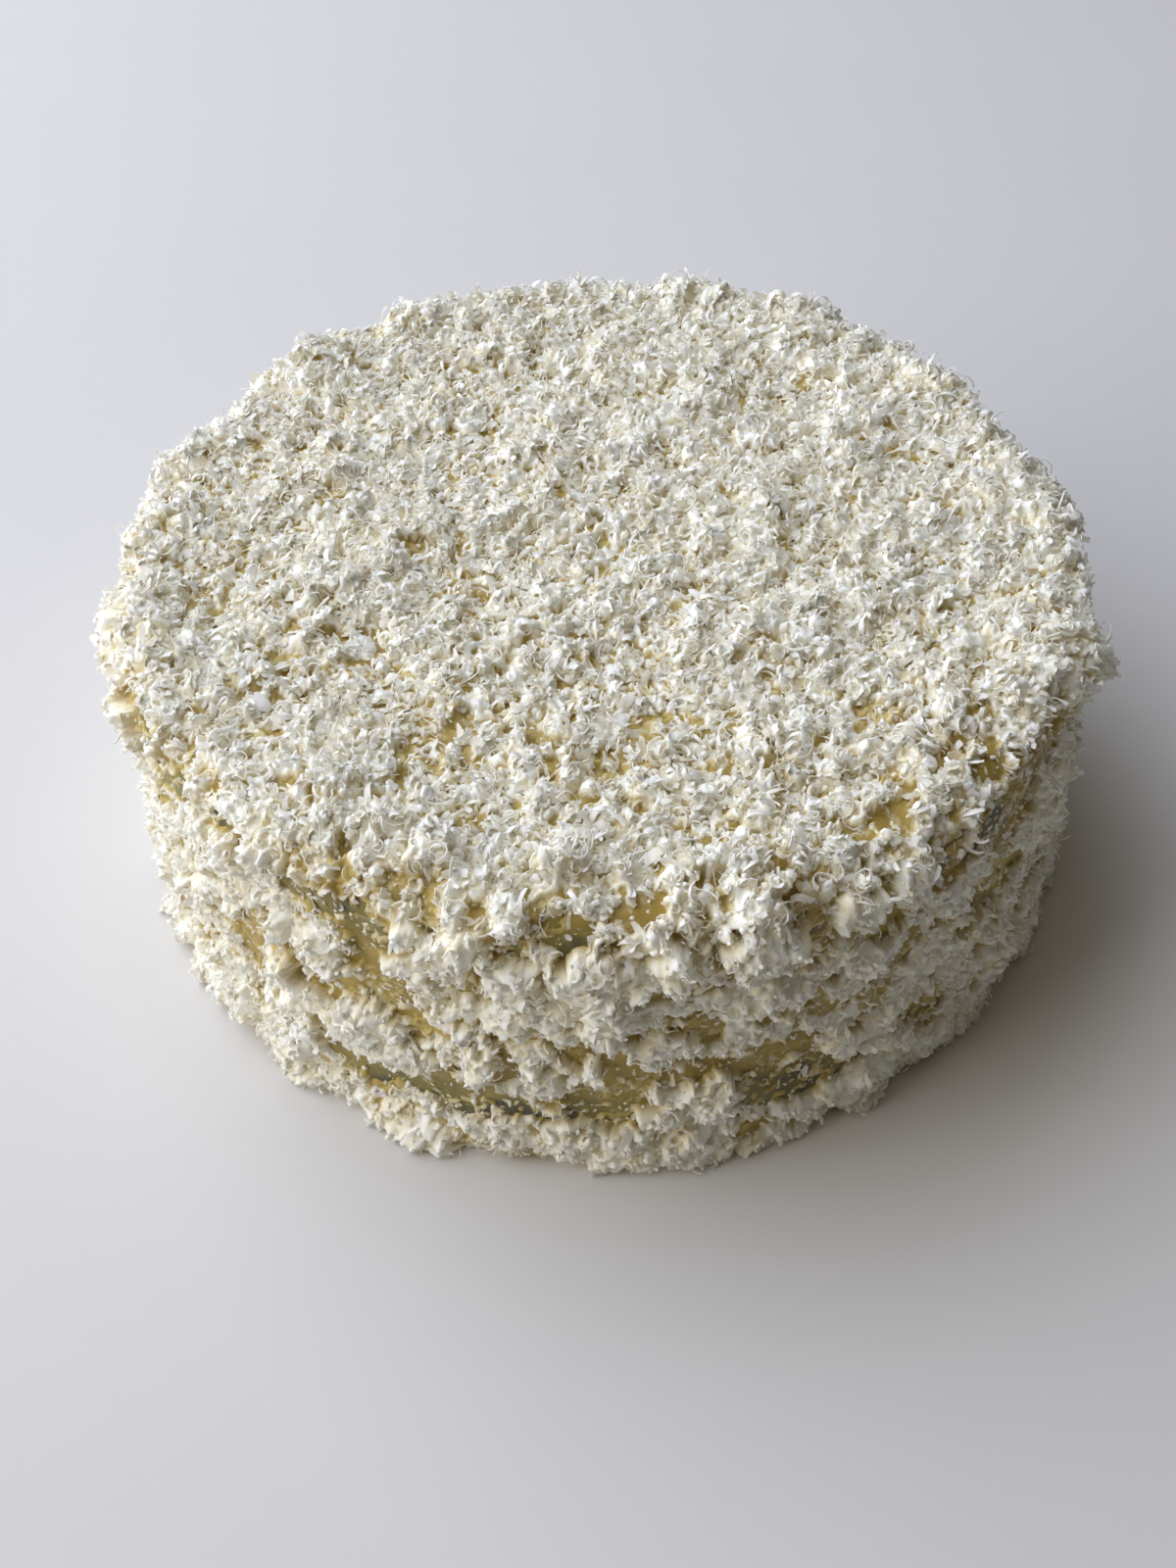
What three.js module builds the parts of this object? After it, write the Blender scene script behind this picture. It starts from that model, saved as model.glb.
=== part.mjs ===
// A whole yema cake: a round sponge cake in a soft custard coat, buried under finely grated cheese.
// Millimetres, +Z up. The origin is on the table, under the middle of the cake's outline.

import * as THREE from "three";
import { ImprovedNoise } from "three/addons/math/ImprovedNoise.js";
import { mergeGeometries, mergeVertices } from "three/addons/utils/BufferGeometryUtils.js";

// ---- driving dimensions ----

const CAKE_DIAMETER = 203; // an 8 inch cake, custard coat included
const CAKE_HEIGHT = 76.5;
const SHOULDER_RADIUS = 8; // the rounded edge between the side and the top
const CUSTARD_WAVE = 0.7; // how far the spread custard rises and falls
const CUSTARD_WAVE_SIZE = 26;

const COAT_GAP = 0.3; // between the custard and the cheese lying on it
const CHEESE_DEPTH = 3.2; // the usual depth of the grated cheese
const CLUMP_DEPTH = 2.4; // how far the broad clumps rise and fall
const CLUMP_SIZE = 17;
const TUFT_DEPTH = 2.0; // how far the small tufts rise and fall
const TUFT_SIZE = 8.5;
const THINNEST_CHEESE = 0.9;
const DEEPEST_CHEESE = 8.5;

const FURROW_DEPTH = 0.6; // low ridges that run slantwise over the top
const FURROW_SPACING = 27;
const FURROW_BEARING = 38;

const RIM_DEPTH = 2; // the cheese lies deeper all round the top edge, and hangs out over it
const RIM_SPREAD = 14;
const FOOT_REACH = 1.3; // loose cheese gathers round the foot
const FOOT_HEIGHT = 7;

// The largest clumps that hang out over the edge: bearing in degrees, height, reach and spread.
const OVERHANGS = [
  { bearing: -18, height: 70, reach: 3.2, spread: 15 },
  { bearing: 6, height: 77, reach: 3.4, spread: 12 },
  { bearing: 194, height: 73, reach: 2.0, spread: 16 },
  { bearing: 236, height: 73, reach: 2.4, spread: 18 },
  { bearing: 287, height: 72, reach: 2.4, spread: 17 },
  { bearing: 118, height: 76, reach: 2.4, spread: 14 },
  { bearing: 61, height: 75, reach: 2.2, spread: 16 },
];

// ---- how finely the surfaces are faceted ----

const NET_SIDE = 24; // squares along one side of the net that covers the top
const SECTORS = 4 * NET_SIDE; // facets round the cake, so that the net meets them at its edge
const COARSE_STEPS = { side: 5, shoulder: 3 }; // the custard, and the cheese against it
const FINE_STEPS = { side: 10, shoulder: 4 }; // the outside of the cheese

const FULL_TURN = 2 * Math.PI;
const SAME_POINT = 1e-3; // vertices closer than this are one vertex
const noise = new ImprovedNoise();

// ---- the section of the cake ----

// Stations along a section through the cake, from the edge of its base, up the side and round the
// shoulder to the edge of the flat top. Each faces outwards by `out` and upwards by `up`.
function sectionStations(steps) {
  const radius = CAKE_DIAMETER / 2;
  const straight = CAKE_HEIGHT - SHOULDER_RADIUS;
  const stations = [];
  for (let i = 0; i < steps.side; i++) {
    stations.push({ radius, height: (straight * i) / steps.side, out: 1, up: 0 });
  }
  for (let i = 0; i <= steps.shoulder; i++) {
    const turn = (FULL_TURN / 4) * (i / steps.shoulder);
    const out = Math.cos(turn);
    const up = Math.sin(turn);
    stations.push({
      radius: radius - SHOULDER_RADIUS * (1 - out),
      height: straight + SHOULDER_RADIUS * up,
      out,
      up,
    });
  }
  return stations;
}

// The point of a station on one bearing, moved out from the cake by `lift`.
function stationPoint(station, bearing, lift) {
  const reach = station.radius + station.out * lift;
  return new THREE.Vector3(
    reach * Math.cos(bearing),
    reach * Math.sin(bearing),
    station.height + station.up * lift,
  );
}

// ---- how the custard and the cheese lie ----

// Smooth lumps about `size` across, from -1 to 1.
function lumps(point, size) {
  const shift = 0.37; // keeps the lattice of the noise off the planes through the origin
  return noise.noise(point.x / size + shift, point.y / size + shift, point.z / size + shift);
}

// 1 where `distance` is 0, falling smoothly to 0 where it is `spread`.
function fade(distance, spread) {
  return 1 - THREE.MathUtils.smoothstep(Math.abs(distance), 0, spread);
}

function custardLift(point) {
  return CUSTARD_WAVE * lumps(point, CUSTARD_WAVE_SIZE);
}

// From -1 in the furrows of the top to 1 on the ridges.
function furrow(point) {
  const bearing = THREE.MathUtils.degToRad(FURROW_BEARING);
  const across = point.y * Math.cos(bearing) - point.x * Math.sin(bearing);
  return Math.sin(FULL_TURN * (across / FURROW_SPACING + lumps(point, 2 * FURROW_SPACING)));
}

function overhangLift(point, { bearing, height, reach, spread }) {
  const edge = { radius: CAKE_DIAMETER / 2, height, out: 1, up: 0 };
  const middle = stationPoint(edge, THREE.MathUtils.degToRad(bearing), 0);
  return reach * fade(point.distanceTo(middle), spread);
}

// How far the outside of the cheese stands off the custard.
function cheeseLift(point, station) {
  const inset = CAKE_DIAMETER / 2 - SHOULDER_RADIUS / 2 - Math.hypot(point.x, point.y);
  const rim = Math.hypot(inset, point.z - CAKE_HEIGHT + SHOULDER_RADIUS / 2);
  let depth = CHEESE_DEPTH;
  depth += CLUMP_DEPTH * lumps(point, CLUMP_SIZE);
  depth += TUFT_DEPTH * lumps(point, TUFT_SIZE);
  depth += station.up * FURROW_DEPTH * furrow(point);
  depth += RIM_DEPTH * fade(rim, RIM_SPREAD);
  depth += station.out * FOOT_REACH * fade(point.z, FOOT_HEIGHT);
  for (const overhang of OVERHANGS) {
    depth += overhangLift(point, overhang);
  }
  return THREE.MathUtils.clamp(depth, THINNEST_CHEESE, DEEPEST_CHEESE);
}

// ---- surfaces ----

function lifted(station, bearing, liftAt) {
  return stationPoint(station, bearing, liftAt(stationPoint(station, bearing, 0), station));
}

// Rows of points round the side and shoulder, one for each station from the base up.
function sideRows(stations, liftAt) {
  return stations.map((station) => {
    const row = [];
    for (let i = 0; i <= SECTORS; i++) {
      row.push(lifted(station, FULL_TURN * ((i % SECTORS) / SECTORS), liftAt));
    }
    return row;
  });
}

// Rows of points over the flat top: a square net drawn out to a disc, so that its squares stay
// nearly even and its edge has one point for each sector of the side.
function topRows(liftAt) {
  const flatRadius = CAKE_DIAMETER / 2 - SHOULDER_RADIUS;
  const rows = [];
  for (let j = 0; j <= NET_SIDE; j++) {
    const v = (2 * j) / NET_SIDE - 1;
    const row = [];
    for (let i = 0; i <= NET_SIDE; i++) {
      const u = (2 * i) / NET_SIDE - 1;
      const sideways = Math.abs(u) > Math.abs(v);
      const reach = sideways ? u : v;
      const slant = reach === 0 ? 0 : (FULL_TURN / 8) * (sideways ? v / u : u / v);
      const bearing = sideways ? slant : FULL_TURN / 4 - slant;
      const top = { radius: flatRadius * reach, height: CAKE_HEIGHT, out: 0, up: 1 };
      row.push(lifted(top, bearing, liftAt));
    }
    rows.push(row);
  }
  return rows;
}

// The flat base: each sector's two points on the edge, and the middle.
function baseTriangles(edge) {
  const middle = new THREE.Vector3();
  const corners = [];
  for (let i = 0; i < SECTORS; i++) {
    corners.push(middle, edge[i + 1], edge[i]);
  }
  return surface(corners);
}

// A patch through rows of points, with each square of the net split along its shorter diagonal. It
// faces the side from which the points run anticlockwise: along a row, then over to the next row.
function patch(rows) {
  const corners = [];
  for (let j = 0; j + 1 < rows.length; j++) {
    for (let i = 0; i + 1 < rows[j].length; i++) {
      const [a, b] = [rows[j][i], rows[j][i + 1]];
      const [c, d] = [rows[j + 1][i + 1], rows[j + 1][i]];
      if (a.distanceTo(c) < b.distanceTo(d)) {
        corners.push(a, b, c, a, c, d);
      } else {
        corners.push(a, b, d, b, c, d);
      }
    }
  }
  return surface(corners);
}

function surface(corners) {
  return new THREE.BufferGeometry().setFromPoints(corners);
}

// One closed geometry from patches whose edges meet.
function closed(patches) {
  const geometry = mergeVertices(mergeGeometries(patches), SAME_POINT);
  geometry.computeVertexNormals();
  return geometry;
}

// ---- the pieces ----

// The cake in its custard: solid, with a flat base.
function custardCakeGeometry() {
  const side = sideRows(sectionStations(COARSE_STEPS), custardLift);
  return closed([baseTriangles(side[0]), patch(side), patch(topRows(custardLift))]);
}

// The cheese: a coat that is open underneath. Its inside follows the custard, and faces it.
function cheeseCoatGeometry() {
  const insideLift = (point) => custardLift(point) + COAT_GAP;
  const outsideLift = (point, station) => custardLift(point) + cheeseLift(point, station);
  const inside = sideRows(sectionStations(COARSE_STEPS), insideLift);
  const outside = sideRows(sectionStations(FINE_STEPS), outsideLift);
  return closed([
    patch(topRows(insideLift).reverse()),
    patch([...inside].reverse()),
    patch([inside[0], outside[0]]),
    patch(outside),
    patch(topRows(outsideLift)),
  ]);
}

const custardCake = new THREE.Mesh(
  custardCakeGeometry(),
  new THREE.MeshStandardMaterial({ color: "#c9a443", roughness: 0.35, metalness: 0 }),
);
custardCake.name = "custard_cake";

const cheeseCoat = new THREE.Mesh(
  cheeseCoatGeometry(),
  new THREE.MeshStandardMaterial({ color: "#efe9d6", roughness: 0.6, metalness: 0 }),
);
cheeseCoat.name = "cheese_coat";

// The uneven cheese reaches further on one side than the other, so the cake is moved until the
// middle of its outline is over the origin.
const middle = new THREE.Box3().setFromObject(cheeseCoat).getCenter(new THREE.Vector3());

const yemaCake = new THREE.Group();
yemaCake.position.set(-middle.x, -middle.y, 0);
yemaCake.add(custardCake, cheeseCoat);

const group = new THREE.Group();
group.add(yemaCake);

export default group;
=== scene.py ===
import math
from typing import NamedTuple

import bpy
import numpy as np
from bpy.props import FloatProperty, FloatVectorProperty, IntProperty, PointerProperty
from mathutils import Matrix, Vector
from mathutils.bvhtree import BVHTree


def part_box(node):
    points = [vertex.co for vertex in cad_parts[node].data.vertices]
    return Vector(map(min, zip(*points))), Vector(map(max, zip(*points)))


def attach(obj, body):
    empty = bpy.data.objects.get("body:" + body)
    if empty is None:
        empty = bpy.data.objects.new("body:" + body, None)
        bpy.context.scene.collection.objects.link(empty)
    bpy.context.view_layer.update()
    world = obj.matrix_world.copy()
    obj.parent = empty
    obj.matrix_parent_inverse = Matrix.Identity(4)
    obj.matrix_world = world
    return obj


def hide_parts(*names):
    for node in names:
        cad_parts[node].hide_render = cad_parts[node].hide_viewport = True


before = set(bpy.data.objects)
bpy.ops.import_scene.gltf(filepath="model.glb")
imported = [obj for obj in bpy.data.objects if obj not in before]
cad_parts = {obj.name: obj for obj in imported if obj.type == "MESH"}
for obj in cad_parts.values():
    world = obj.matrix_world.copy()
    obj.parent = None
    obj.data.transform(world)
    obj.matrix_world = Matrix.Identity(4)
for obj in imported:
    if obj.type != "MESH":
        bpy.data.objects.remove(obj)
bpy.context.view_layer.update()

bl_info = {
    "name": "Yema cake",
    "version": (1, 0, 0),
    "blender": (4, 5, 0),
    "location": "View3D > Sidebar > Yema cake",
    "description": "Models a round custard cake under a deep coat of finely grated cheese",
    "category": "Add Mesh",
}

MM = 0.001
CAKE_LOW, CAKE_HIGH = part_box("custard_cake")
BODY = "root"
BED = "cheese_bed"

# The plain drum that the custard is spread on, worked out from the frame. Its middle is the cake's own.
DRUM_MIDDLE = np.array(((CAKE_LOW.x + CAKE_HIGH.x) / 2, (CAKE_LOW.y + CAKE_HIGH.y) / 2, 0.0))
DRUM_RADIUS = (CAKE_HIGH.x - CAKE_LOW.x) / 2
DRUM_HEIGHT = CAKE_HIGH.z - 0.4 * MM


# ---------------- colours and sizes

def linear(hex_colour):
    """An sRGB hex colour as linear red, green and blue."""
    channels = [int(hex_colour[i:i + 2], 16) / 255 for i in (1, 3, 5)]
    return tuple(c / 12.92 if c <= 0.04045 else ((c + 0.055) / 1.055) ** 2.4 for c in channels)


def colour(name, description, hex_colour):
    """A colour that can be changed in the sidebar."""
    return FloatVectorProperty(
        name=name, description=description, subtype="COLOR", size=3, min=0, max=1,
        default=linear(hex_colour))


def length(name, description, default):
    """A length that can be changed in the sidebar."""
    return FloatProperty(
        name=name, description=description, unit="LENGTH", default=default, precision=5)


class YemaSizes(bpy.types.PropertyGroup):
    """Sizes of the cake, its custard and its grated cheese."""
    shoulder: length("Shoulder", "Radius of the rounded edge between the side and the top", 8 * MM)
    custard_wave: length("Custard wave", "How far the spread custard rises and falls", 0.55 * MM)
    clot: length("Clot", "How far apart the clots of pressed cheese on the side are", 15 * MM)
    lump: length("Lump", "How far apart the smaller lumps on the side are", 6.5 * MM)
    tuft: length("Tuft", "How far apart the small tufts in the cheese are", 4.4 * MM)
    plate: length("Plate", "How far apart the matted shreds in the pressed cheese are", 3.4 * MM)
    curl_length: length("Curl length", "Usual length of the ribbon that a curl is wound from", 7.4 * MM)
    curl_width: length("Curl width", "Usual width of the ribbon that a curl is wound from", 0.85 * MM)
    ribbon_length: length("Ribbon length", "Usual length of a loose ribbon", 4.6 * MM)
    ribbon_width: length("Ribbon width", "Usual width of a loose ribbon", 1.0 * MM)
    petal_length: length("Petal length", "Usual length of a broad, thin shaving", 2.8 * MM)
    petal_width: length("Petal width", "Usual width of a broad, thin shaving", 1.6 * MM)
    thread_length: length("Thread length", "Usual length of a thin thread", 6.0 * MM)
    thread_width: length("Thread width", "Usual width of a thin thread", 0.38 * MM)
    flake_width: length("Flake width", "Usual width of a thin flake", 1.0 * MM)
    crumb_width: length("Crumb width", "Usual width of a crumb", 0.85 * MM)
    shred_thickness: length("Shred thickness", "Thickness of a shred at its middle", 0.2 * MM)
    seed: IntProperty(name="Seed", description="Picks another fall of the cheese", default=7, min=0)


class YemaColours(bpy.types.PropertyGroup):
    """Colours of the cheese, the custard and the stage."""
    cheese: colour("Cheese", "Fresh grated cheese", "#FBFAF2")
    # Also the painted shade in the pits of the pressed cheese and on the shreds low in the pile.
    cheese_cream_and_shade: colour("Cream", "The creamier shreds and the deeper cheese", "#F3ECD2")
    cheese_soaked: colour("Soaked", "Thin cheese with the custard's gold coming through it", "#BEA65B")
    custard: colour("Custard", "Yema custard over pale sponge", "#B59C4F")
    custard_ochre: colour("Ochre", "The browner patches of the custard", "#9E843A")
    # Painted shade: olive at the foot and just under the rim.
    custard_olive_shade: colour("Olive", "Thin custard over the darker sponge at the rim and foot", "#7C763F")
    # Painted shade: dark spots at the foot and just under the rim.
    custard_dark_shade: colour("Dark spots", "Where the dark sponge shows through the custard", "#4B4A42")
    floor: colour("Floor", "Plain pale floor", "#D6D3CD")


# ---------------- repeatable noise

HASH_STEPS = (73856093, 19349663, 83492791)
HASH_MIX = 1274126177
HASH_MASK = 0xFFFFFFFF


def hashed(cells, seed):
    """A repeatable random whole number of 32 bits for each whole-number cell."""
    n = np.full(cells.shape[:-1], seed * 374761393, np.int64)
    for axis, step in enumerate(HASH_STEPS):
        n ^= cells[..., axis] * step
    n &= HASH_MASK
    n = ((n ^ (n >> 13)) * HASH_MIX) & HASH_MASK
    n = ((n ^ (n >> 15)) * HASH_MIX) & HASH_MASK
    return n ^ (n >> 16)


def lattice(cells, seed):
    """A repeatable random number from 0 to 1 for each cell."""
    return (hashed(cells, seed) & 0xFFFFFF) / 0x1000000


def traits(cells, seed):
    """Three repeatable random numbers from 0 to 1 for each cell."""
    n = hashed(cells, seed)
    return np.stack((n & 0xFF, (n >> 8) & 0xFF, (n >> 16) & 0xFF), axis=-1) / 0xFF


def lumps(points, size, seed):
    """Smooth lumps about `size` across, from -1 to 1."""
    scaled = points / size
    cells = np.floor(scaled).astype(np.int64)
    f = scaled - cells
    f = f * f * f * (f * (f * 6 - 15) + 10)
    total = np.zeros(len(points))
    for corner in np.ndindex(2, 2, 2):
        offset = np.array(corner)
        weight = np.prod(np.where(offset == 1, f, 1 - f), axis=1)
        total += weight * lattice(cells + offset, seed)
    return 2 * total - 1


def pebbles(points, size, seed):
    """Distance to the nearest of the points strewn one to a cell, over the cell's size."""
    scaled = points / size
    cells = np.floor(scaled).astype(np.int64)
    nearest = np.full(len(points), 9.0)
    for corner in np.ndindex(3, 3, 3):
        near = cells + (np.array(corner) - 1)
        nearest = np.minimum(nearest, ((scaled - near - traits(near, seed)) ** 2).sum(1))
    return np.sqrt(nearest)


def plates(points, size, seed):
    """The uppermost of long, thin plates that lie over one another at all angles, one to a cell.

    Gives its height, over the cell's size and 0 where there's none, and a random number of its own.
    """
    scaled = points / size
    cells = np.floor(scaled).astype(np.int64)
    top = np.zeros(len(points))
    mark = np.full(len(points), 0.5)
    for corner in np.ndindex(3, 3, 3):
        near = cells + (np.array(corner) - 1)
        own = traits(near, seed)
        lie = traits(near, seed + 1) - 0.5
        lie /= np.linalg.norm(lie, axis=1, keepdims=True) + 1e-6
        away = scaled - near - traits(near, seed + 2)
        gap = (away ** 2).sum(1) - 0.75 * (away * lie).sum(1) ** 2
        gap /= 0.10 + 0.14 * own[:, 0]
        lean = (away[:, 0] * lie[:, 1] - away[:, 1] * lie[:, 2] + away[:, 2] * lie[:, 0]) * 0.6
        height = (0.12 + 0.38 * own[:, 1] + lean - 0.06 * gap) * (1 - smoothstep(gap, 0.65, 1.0))
        higher = height > top
        top = np.where(higher, height, top)
        mark = np.where(higher, own[:, 2], mark)
    return top, mark


def smoothstep(value, low, high):
    """0 below `low`, 1 above `high`, and an even rise between them."""
    t = np.clip((value - low) / (high - low), 0, 1)
    return t * t * (3 - 2 * t)


def bell(value, middle, spread):
    """1 at `middle`, falling to 0 at `spread` on either side."""
    return 1 - smoothstep(np.abs(value - middle), 0, spread)


# ---------------- the form of the cake

def drum_normals(points, shoulder):
    """The way that the drum faces at points on or near it."""
    local = points - DRUM_MIDDLE
    radius = np.linalg.norm(local[:, :2], axis=1)
    out = local[:, :2] / np.maximum(radius, 1e-9)[:, None]
    across = radius - (DRUM_RADIUS - shoulder)
    above = local[:, 2] - (DRUM_HEIGHT - shoulder)
    on_top = (across <= 0) & (above > 0)
    on_side = (above <= 0) & (across > 0)
    turn = np.arctan2(np.maximum(above, 0), np.maximum(across, 1e-9))
    turn = np.where(on_top, math.pi / 2, np.where(on_side, 0, turn))
    return np.column_stack((out * np.cos(turn)[:, None], np.sin(turn)))


def unrolled(points, shoulder):
    """Each point's bearing, its way up the side and on over the top, and its radius."""
    local = points - DRUM_MIDDLE
    radius = np.linalg.norm(local[:, :2], axis=1)
    flat = DRUM_RADIUS - shoulder
    straight = DRUM_HEIGHT - shoulder
    above = local[:, 2] - straight
    turn = np.arctan2(np.maximum(above, 0), np.maximum(radius - flat, 1e-9))
    along = np.where(above <= 0, local[:, 2], straight + shoulder * turn + np.maximum(flat - radius, 0))
    return np.arctan2(local[:, 1], local[:, 0]), along, radius


def coat_tree():
    """The cheese's uneven outline in the frame, for measuring how deep it lies."""
    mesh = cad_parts["cheese_coat"].data
    return BVHTree.FromPolygons([v.co for v in mesh.vertices], [p.vertices for p in mesh.polygons])


COAT = coat_tree()
REACH = 20 * MM
USUAL_DEPTH = 3 * MM
# Where the custard lies bare, the pressed cheese ends about this far under it.
BARE_DEPTH = 0.5 * MM


def coat_depth(points, normals):
    """How far the frame's cheese stands off the drum at each point."""
    depths = np.empty(len(points))
    for i, (point, normal) in enumerate(zip(points, normals)):
        hit = COAT.ray_cast(Vector(point + normal * REACH), Vector(-normal))
        depths[i] = REACH - hit[3] if hit[0] is not None else USUAL_DEPTH
    return depths


def custard_lift(points, sizes):
    """The gentle rise and fall of the spread custard, which the cheese on it follows."""
    wave = lumps(points, 24 * MM, 3) + 0.6 * lumps(points, 9 * MM, 5)
    wave += 0.3 * lumps(points, 3.5 * MM, 6)
    return sizes.custard_wave * wave


# Where the custard lies bare: bearing in degrees, then the way up the side and over the rim,
# half the width and half the height in mm, from the left round to the right.
BARE_PLACES = (
    (-124, 68, 9, 2.5), (-116, 66, 5, 2.2), (-120.5, 80, 2.5, 2), (-113, 77, 3, 2.2), (-119, 54, 3, 3),
    (-123, 46, 5.5, 3), (-112, 35, 2.5, 2), (-105, 55, 5.5, 3.2), (-108, 45, 4.5, 2.5), (-101, 43, 7, 2.6),
    (-110, 24, 4, 3), (-102, 21, 5, 2.4), (-95.5, 16, 6, 1.6), (-94.3, 73, 6.5, 4), (-87, 77, 6.5, 4.6),
    (-78.5, 81, 3.5, 1.6), (-78.5, 66, 2.5, 4), (-84, 57, 8, 2.6), (-75.5, 59, 5, 3), (-71, 78, 4, 5),
    (-82, 31, 5.5, 5), (-86, 22, 4, 1.8), (-79, 15, 3.5, 1.8), (-74.5, 19, 4.5, 2), (-69, 33, 4, 2),
    (-66, 41, 3.5, 2.4), (-69, 17, 3.5, 1.8), (-65, 23, 3, 1.8), (-62.5, 31, 2.5, 1.8), (-54, 24, 5, 4),
    (-60, 59, 4, 4), (-56, 82, 9, 4), (-43, 84, 5, 3), (-41, 78, 4, 3), (-52, 64, 5, 4), (-47, 66, 5, 3),
    (-65.5, 51, 3, 2.5),
)

# The largest clots of cheese: the same four numbers, then how far each stands out in mm.
CLUMPS = (
    (-136, 66, 6, 5, 3), (-130, 74, 7, 4, 3), (-118, 87, 6, 5, 3), (-111, 85, 5.5, 6, 4),
    (-107, 65, 6, 6, 3.5), (-104.5, 31, 4, 7, 3), (-100.5, 75, 4, 4, 3.5), (-100, 62, 6.5, 10, 4),
    (-98, 32, 3, 6, 3),
    (-95.5, 85, 5, 5, 4.5), (-91, 55, 5, 10, 4.5), (-91.3, 68, 4, 4, 4), (-92, 35, 2, 4, 2.5),
    (-85, 41, 7, 5, 2), (-83.5, 69, 5.5, 7, 4.5), (-83.8, 17, 4, 3.5, 3), (-74.5, 70, 7, 8, 5),
    (-73, 51, 5, 6, 2.5), (-64, 70, 6, 6, 4), (-57, 71, 5, 5, 3.5),
)


def place_distance(where, place):
    """How far each unrolled point is from a place's middle, where 1 is its edge."""
    bearing, along, radius = where
    middle, height, half_wide, half_tall = place[:4]
    around = (bearing - math.radians(middle) + math.pi) % (2 * math.pi) - math.pi
    return np.hypot(around * radius / (half_wide * MM), (along - height * MM) / (half_tall * MM))


def roughened(points, size, reach, seed):
    """The points pushed about by fine noise, which makes whatever is drawn with them ragged."""
    push = np.stack([lumps(points, size, seed + i) for i in range(3)], axis=1)
    return points + reach * push


# Hollows in the top, as seen from above: X, Y, half the length and half the width in mm,
# and the way each runs in degrees from X.
HOLLOWS = (
    (-57, 0, 4, 3, 0), (-36, 2, 4, 3, 0), (-25, 4, 3, 3, 0), (-25, -14, 4, 4, 0),
    (-65, -47, 9, 4, 40), (-42, -38, 7, 3, 65), (-10, -28, 9, 4, 30), (12, -22, 9, 4, 45),
    (22, -16, 4, 2, 60), (38, -13, 4, 4, 0), (47, -8, 4, 4, 0), (58, -8, 3, 3, 0),
    (10, -50, 8, 5, 60), (5, -60, 4, 3, 45), (50, 20, 9, 4, 70), (30, 47, 8, 3, 50),
    (40, 58, 5, 3, 45), (70, 30, 4, 4, 0), (34, 30, 4, 4, 0), (-34, 57, 4, 4, 0),
    (-15, 57, 4, 3, 0), (-4, 57, 6, 3, 70), (23, 63, 4, 3, 0), (-22, 67, 4, 4, 0),
    (-12, 78, 5, 3, 70), (-60, 21, 4, 4, 0), (76, -20, 8, 3, 65), (-70, -28, 4, 4, 0),
    (-72, -7, 4, 4, 0), (2, 1, 4, 4, 0), (15, 30, 6, 3, 110), (35, -70, 6, 3, 70),
    (-56, -74, 4, 5, 70), (20, -80, 7, 3, 75), (-35, -92, 6, 3, 45), (3, -98, 6, 4, 0),
    (60, -88, 5, 5, 0), (72, -60, 5, 4, 0), (76, -72, 4, 4, 0), (92, -42, 5, 4, 0),
)


def hollow(points, edge):
    """1 in the middle of the hollows in the top, 0 outside them."""
    deepest = np.zeros(len(points))
    for x, y, half_long, half_wide, way in HOLLOWS:
        c, s = math.cos(math.radians(way)), math.sin(math.radians(way))
        across, off = points[:, 0] - x * MM, points[:, 1] - y * MM
        long_way = (across * c + off * s) / (half_long * MM)
        wide_way = (off * c - across * s) / (half_wide * MM)
        distance = np.hypot(long_way, wide_way)
        deepest = np.maximum(deepest, 1 - smoothstep(distance + edge, 0.3, 1.2))
    return deepest


def bareness(points, where, up, edge):
    """1 where the custard lies bare, 0 where cheese covers it, and between where that's thin."""
    along = where[1]
    side = 0.8 * lumps(points, 16 * MM, 11) + 0.6 * lumps(points, 6.5 * MM, 12)
    side += 0.35 * lumps(points, 3 * MM, 13)
    # More of it shows in three bands round the side, and next to none at the foot.
    side += 0.25 * bell(along, 70 * MM, 12 * MM) + 0.30 * bell(along, 45 * MM, 9 * MM)
    side += 0.45 * bell(along, 19 * MM, 6 * MM) - 1.4 * (1 - smoothstep(along, 6 * MM, 15 * MM))
    # The cheese lies thicker round the sides and the back than at the front.
    side += 0.08 - 0.30 * smoothstep(points[:, 1], -70 * MM, -10 * MM)
    bare = (1 - smoothstep(up, 0.3, 0.9)) * 0.85 * smoothstep(side + 0.5 * edge, 0.20, 0.52)
    for place in BARE_PLACES:
        bare = np.maximum(bare, 1 - smoothstep(place_distance(where, place) + edge, 0.7, 1.1))
    return bare


def gaps(points, up, sunk):
    """1 in the small gaps, where the cheese is thin and soaked with custard, 0 elsewhere."""
    # They're closer together towards the front of the top than at its back and right.
    front = smoothstep(0.35 * points[:, 0] + 0.9 * points[:, 1], 35 * MM, -60 * MM)
    thin = 0.7 * lumps(points, 3.0 * MM, 17) + 0.55 * lumps(points, 1.6 * MM, 18)
    thin += 0.2 * lumps(points, 17 * MM, 15)
    top = smoothstep(thin + 0.25 * front + 0.3 * sunk, 0.38, 0.64)
    # On the side they lie flat, as the custard was spread.
    spread = points * (1.0, 1.0, 1.7)
    thin = 0.8 * lumps(spread, 6.5 * MM, 19) + 0.5 * lumps(spread, 2.4 * MM, 20)
    return up * top + (1 - up) * smoothstep(thin, 0.06, 0.34)


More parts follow.
